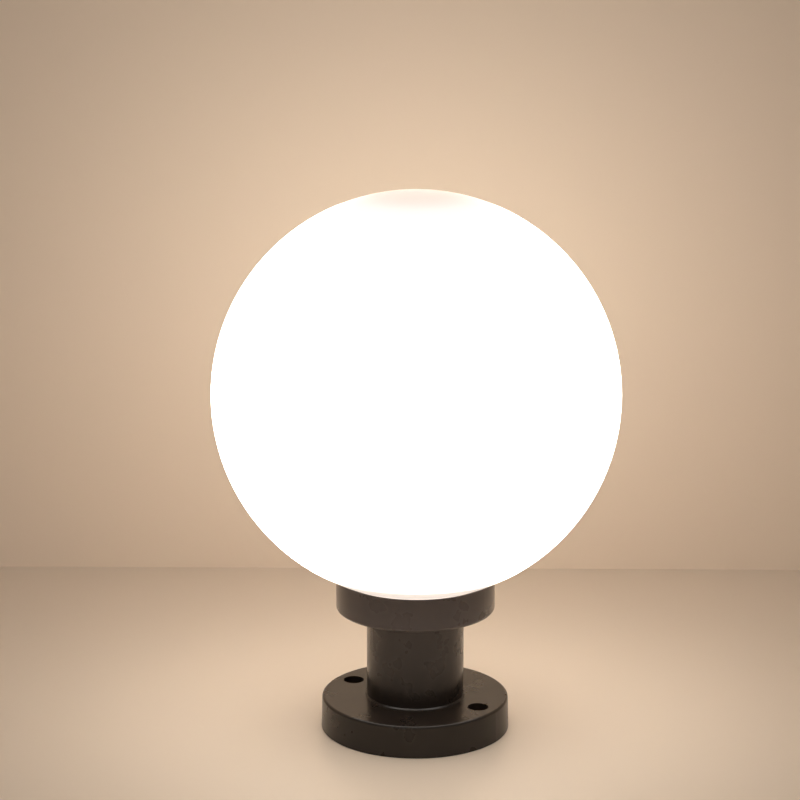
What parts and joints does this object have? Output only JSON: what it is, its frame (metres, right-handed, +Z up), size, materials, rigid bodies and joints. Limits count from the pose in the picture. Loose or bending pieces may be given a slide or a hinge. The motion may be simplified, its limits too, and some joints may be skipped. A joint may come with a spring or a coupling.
{
  "type": "garden globe light",
  "caption": "Opal globe screwed into a black cup on a short column, over a round flange with mounting screw holes; lampholder, bulb and wiring inside.",
  "frame": {"origin": "centre of the face that the flange stands on", "axes": "+Z up along the column to the globe; the two mounting screws lie on the X axis"},
  "size_m": [0.2, 0.2, 0.2708],
  "materials": {
    "opal_globe": "opal acrylic, lit from inside",
    "silicone": "matte translucent",
    "black_coat": "semi-gloss black coat on aluminium",
    "gasket_rubber": "closed-cell foam",
    "zinc_steel": "zinc plated",
    "holder_plastic": "moulded, fine grain",
    "core_ceramic": "unglazed",
    "plated_brass": "nickel plated",
    "contact_brass": "plain",
    "spring_steel": "drawn wire",
    "solder_tip": "solder",
    "bulb_black": "glassy black",
    "bulb_nickel": "rolled, bright",
    "bulb_white": "satin white",
    "led_plate_aluminium": "white solder mask",
    "led_phosphor": "silicone over phosphor",
    "circuit_board": "glass epoxy with solder mask",
    "driver_parts": "sleeved and moulded",
    "bulb_opal": "opal polycarbonate",
    "brown_lead": "silicone sleeve",
    "blue_lead": "silicone sleeve",
    "green_yellow_lead": "green with a yellow stripe",
    "tinned_copper": "tinned",
    "block_plastic": "translucent white nylon",
    "clamp_plastic": "white nylon"
  },
  "bodies": {
    "stand": {"fitter_cup": "black_coat", "neck_tube": "black_coat", "base_flange": "black_coat", "base_gasket": "gasket_rubber", "tie_rod": "zinc_steel", "rod_top_nut": "zinc_steel", "rod_top_washer": "zinc_steel", "rod_bottom_nut": "zinc_steel", "rod_bottom_washer": "zinc_steel", "holder_cap": "holder_plastic", "holder_grub_screw": "zinc_steel", "holder_skirt": "holder_plastic", "holder_core": "core_ceramic", "holder_screw_shell": "plated_brass", "holder_side_contact": "contact_brass", "holder_live_strap": "contact_brass", "holder_spring": "spring_steel", "holder_terminals": "contact_brass", "holder_terminal_screws": "zinc_steel", "live_lead": "brown_lead", "neutral_lead": "blue_lead", "earth_lead": "green_yellow_lead", "earth_ring_terminal": "tinned_copper", "earth_washer": "zinc_steel", "earth_screw": "zinc_steel", "terminal_block": "block_plastic", "terminal_tubes": "contact_brass", "terminal_block_screws": "zinc_steel", "terminal_block_fixing_screw": "zinc_steel", "cord_clamp": "clamp_plastic", "cord_clamp_screws": "zinc_steel"},
    "seal": {"globe_seal": "silicone"},
    "globe": {"globe": "opal_globe"},
    "plunger": {"holder_plunger": "contact_brass"},
    "tip": {"bulb_tip": "solder_tip"},
    "bulb": {"bulb_insulator": "bulb_black", "bulb_cap": "bulb_nickel", "bulb_housing": "bulb_white", "bulb_led_plate": "led_plate_aluminium", "bulb_led_chips": "led_phosphor", "bulb_driver_board": "circuit_board", "bulb_driver_parts": "driver_parts", "bulb_diffuser": "bulb_opal"}
  },
  "joints": [
    {"name": "globe_turn", "type": "hinge", "parent": "stand", "child": "seal", "pos_m": [0, 0, 0.0764], "axis": [0, 0, 1], "range_deg": [0, 720]},
    {"name": "globe_lift", "type": "slide", "parent": "seal", "child": "globe", "axis": [0, 0, 1], "range_m": [0, 0.0121]},
    {"name": "bulb_lift", "type": "slide", "parent": "stand", "child": "tip", "axis": [0, 0, 1], "range_m": [0, 0.01825]},
    {"name": "bulb_turn", "type": "hinge", "parent": "tip", "child": "bulb", "pos_m": [0, 0, 0.105], "axis": [0, 0, 1], "range_deg": [0, 1800]},
    {"name": "plunger_press", "type": "slide", "parent": "stand", "child": "plunger", "axis": [0, 0, -1], "range_m": [0, 0.0008], "stiffness_N_per_m": 1500, "springref_m": -0.001, "deforming": ["holder_spring"]}
  ],
  "couplings": [
    {"joint": "globe_lift", "follows": "globe_turn", "m_per_rad": 0.00095493},
    {"joint": "bulb_lift", "follows": "bulb_turn", "m_per_rad": 0.00057757}
  ]
}
